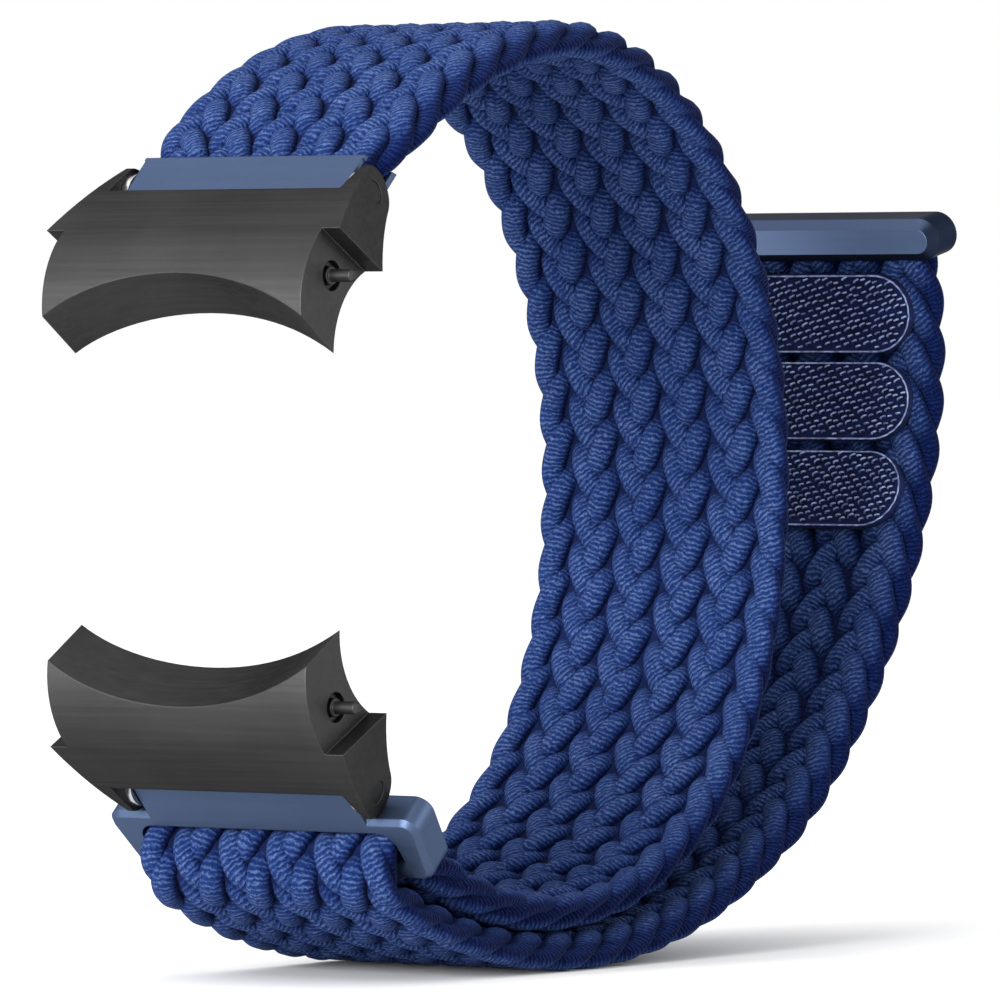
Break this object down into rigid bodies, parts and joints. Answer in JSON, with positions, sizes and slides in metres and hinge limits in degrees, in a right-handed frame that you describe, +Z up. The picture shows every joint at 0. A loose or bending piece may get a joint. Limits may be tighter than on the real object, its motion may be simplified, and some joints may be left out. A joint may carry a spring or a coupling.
{
  "type": "watch strap",
  "caption": "Braided nylon watch strap with curved metal end links, a hinged connector, a fold-back ring and a tail with hook pads and an end bar.",
  "frame": {"origin": "centre of the underside of the bounding box, under the lowest point of the folded-back tail", "axes": "+X along the strap's width, +Y from the watch towards the back of the wrist, +Z up, from the ring end to the fixed end"},
  "size_m": [0.0238, 0.0744, 0.0606],
  "materials": {
    "dark_steel": "dark grey plated, satin",
    "bright_steel": "bright",
    "blue_metal": "slate blue anodised, satin",
    "braid": "navy blue flat braid of ribbed cords",
    "hooks": "dark navy moulded hooks with a sewn border"
  },
  "bodies": {
    "lower_strap": {"strap_lower": "braid", "strap_fold": "braid"},
    "upper_strap": {"strap_upper": "braid", "upper_connector": "blue_metal"},
    "upper_link": {"upper_end_link": "dark_steel", "upper_hinge_pin": "dark_steel", "upper_hinge_washers": "bright_steel", "upper_spring_bar_tube": "dark_steel", "upper_bar_spring": "bright_steel"},
    "upper_right_plunger": {"upper_plunger_right": "dark_steel", "upper_release_knob": "dark_steel"},
    "upper_left_plunger": {"upper_plunger_left": "dark_steel"},
    "ring": {"lower_ring": "blue_metal"},
    "lower_link": {"lower_end_link": "dark_steel", "lower_hinge_pin": "dark_steel", "lower_hinge_washers": "bright_steel", "lower_spring_bar_tube": "dark_steel", "lower_bar_spring": "bright_steel"},
    "lower_right_plunger": {"lower_plunger_right": "dark_steel", "lower_release_knob": "dark_steel"},
    "lower_left_plunger": {"lower_plunger_left": "dark_steel"},
    "tail_root": {"tail_section_1": "braid"},
    "tail_middle": {"tail_section_2": "braid"},
    "tail_end": {"tail_section_3": "braid", "tail_end_bar": "blue_metal", "hook_pad_1": "hooks", "hook_pad_2": "hooks", "hook_pad_3": "hooks"}
  },
  "joints": [
    {"name": "strap_bend", "type": "hinge", "parent": "lower_strap", "child": "upper_strap", "pos_m": [0, 0.01784, 0.03095], "axis": [1, 0, 0], "range_deg": [-15, 8], "stiffness_Nm_per_rad": 0.12},
    {"name": "upper_link_hinge", "type": "hinge", "parent": "upper_strap", "child": "upper_link", "pos_m": [0, -0.02909, 0.04937], "axis": [1, 0, 0], "range_deg": [-60, 45]},
    {"name": "upper_right_tip", "type": "slide", "parent": "upper_link", "child": "upper_right_plunger", "axis": [-1, 0, 0], "range_m": [0, 0.0016], "stiffness_N_per_m": 300, "springref_m": -0.0005},
    {"name": "upper_left_tip", "type": "slide", "parent": "upper_link", "child": "upper_left_plunger", "axis": [1, 0, 0], "range_m": [0, 0.0016], "stiffness_N_per_m": 300, "springref_m": -0.0005},
    {"name": "ring_tilt", "type": "hinge", "parent": "lower_strap", "child": "ring", "pos_m": [0, -0.02458, 0.00752], "axis": [1, 0, 0], "range_deg": [-40, 40], "stiffness_Nm_per_rad": 0.02},
    {"name": "lower_link_hinge", "type": "hinge", "parent": "ring", "child": "lower_link", "pos_m": [0, -0.02889, 0.01217], "axis": [1, 0, 0], "range_deg": [-45, 60]},
    {"name": "lower_right_tip", "type": "slide", "parent": "lower_link", "child": "lower_right_plunger", "axis": [-1, 0, 0], "range_m": [0, 0.0016], "stiffness_N_per_m": 300, "springref_m": -0.0005},
    {"name": "lower_left_tip", "type": "slide", "parent": "lower_link", "child": "lower_left_plunger", "axis": [1, 0, 0], "range_m": [0, 0.0016], "stiffness_N_per_m": 300, "springref_m": -0.0005},
    {"name": "tail_bend_1", "type": "hinge", "parent": "lower_strap", "child": "tail_root", "pos_m": [0, 0.00639, 0.00255], "axis": [1, 0, 0], "range_deg": [-20, 8], "stiffness_Nm_per_rad": 0.05},
    {"name": "tail_bend_2", "type": "hinge", "parent": "tail_root", "child": "tail_middle", "pos_m": [0, 0.02235, 0.01086], "axis": [1, 0, 0], "range_deg": [-20, 8], "stiffness_Nm_per_rad": 0.05},
    {"name": "tail_bend_3", "type": "hinge", "parent": "tail_middle", "child": "tail_end", "pos_m": [0, 0.03306, 0.02532], "axis": [1, 0, 0], "range_deg": [-20, 8], "stiffness_Nm_per_rad": 0.05}
  ],
  "couplings": [
    {"joint": "tail_bend_1", "follows": "tail_bend_3", "ratio": 1},
    {"joint": "tail_bend_2", "follows": "tail_bend_3", "ratio": 1}
  ]
}
